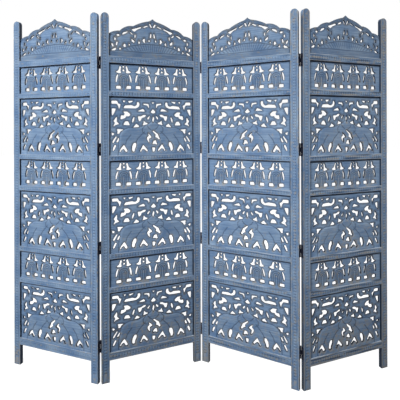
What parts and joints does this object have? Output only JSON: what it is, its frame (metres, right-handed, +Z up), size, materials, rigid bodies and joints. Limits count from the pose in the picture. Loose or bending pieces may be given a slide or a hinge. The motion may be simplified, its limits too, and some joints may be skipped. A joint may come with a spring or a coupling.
{
  "type": "folding screen",
  "caption": "Free-standing wooden folding screen of hinged panels, with pierced and carved elephant and arch fields in a painted frame and a scalloped crest.",
  "frame": {"origin": "centre of the standing screen's plan, on the floor", "axes": "+X along the row of panels to the right, +Y from the front to the back, +Z up"},
  "size_m": [1.926, 0.2548, 1.7799],
  "materials": {
    "painted_frame": "distressed blue paint over wood, matt",
    "carved_board": "carved and pierced wood, distressed blue paint, matt",
    "hinge_steel": "black japanned steel, worn",
    "screw_steel": "darkened steel"
  },
  "bodies": {
    "panel_1": {"panel_1_left_stile": "painted_frame", "panel_1_right_stile": "painted_frame", "panel_1_bottom_rail": "painted_frame", "panel_1_cross_rails": "painted_frame", "panel_1_top_rail": "painted_frame", "panel_1_elephant_panel_lower": "carved_board", "panel_1_elephant_panel_middle": "carved_board", "panel_1_elephant_panel_upper": "carved_board", "panel_1_arch_panels": "carved_board", "panel_1_crest": "carved_board", "hinge_1_2_left_leaves": "hinge_steel", "hinge_1_2_pins": "hinge_steel", "hinge_1_2_left_screws": "screw_steel"},
    "panel_2": {"panel_2_left_stile": "painted_frame", "panel_2_right_stile": "painted_frame", "panel_2_bottom_rail": "painted_frame", "panel_2_cross_rails": "painted_frame", "panel_2_top_rail": "painted_frame", "panel_2_elephant_panel_lower": "carved_board", "panel_2_elephant_panel_middle": "carved_board", "panel_2_elephant_panel_upper": "carved_board", "panel_2_arch_panels": "carved_board", "panel_2_crest": "carved_board", "hinge_1_2_right_leaves": "hinge_steel", "hinge_1_2_right_screws": "screw_steel", "hinge_2_3_left_leaves": "hinge_steel", "hinge_2_3_pins": "hinge_steel", "hinge_2_3_left_screws": "screw_steel"},
    "panel_3": {"panel_3_left_stile": "painted_frame", "panel_3_right_stile": "painted_frame", "panel_3_bottom_rail": "painted_frame", "panel_3_cross_rails": "painted_frame", "panel_3_top_rail": "painted_frame", "panel_3_elephant_panel_lower": "carved_board", "panel_3_elephant_panel_middle": "carved_board", "panel_3_elephant_panel_upper": "carved_board", "panel_3_arch_panels": "carved_board", "panel_3_crest": "carved_board", "hinge_2_3_right_leaves": "hinge_steel", "hinge_2_3_right_screws": "screw_steel", "hinge_3_4_left_leaves": "hinge_steel", "hinge_3_4_pins": "hinge_steel", "hinge_3_4_left_screws": "screw_steel"},
    "panel_4": {"panel_4_left_stile": "painted_frame", "panel_4_right_stile": "painted_frame", "panel_4_bottom_rail": "painted_frame", "panel_4_cross_rails": "painted_frame", "panel_4_top_rail": "painted_frame", "panel_4_elephant_panel_lower": "carved_board", "panel_4_elephant_panel_middle": "carved_board", "panel_4_elephant_panel_upper": "carved_board", "panel_4_arch_panels": "carved_board", "panel_4_crest": "carved_board", "hinge_3_4_right_leaves": "hinge_steel", "hinge_3_4_right_screws": "screw_steel"}
  },
  "joints": [
    {"name": "fold_1_2", "type": "hinge", "parent": "panel_2", "child": "panel_1", "pos_m": [-0.47398, -0.05542, 0], "axis": [0, 0, 1], "range_deg": [-139.5, 40.5]},
    {"name": "fold_2_3", "type": "hinge", "parent": "panel_2", "child": "panel_3", "pos_m": [0.0122, 0.10708, 0], "axis": [0, 0, 1], "range_deg": [-131.2, 48.8]},
    {"name": "fold_3_4", "type": "hinge", "parent": "panel_3", "child": "panel_4", "pos_m": [0.47798, -0.10698, 0], "axis": [0, 0, 1], "range_deg": [-48.2, 131.8]}
  ]
}
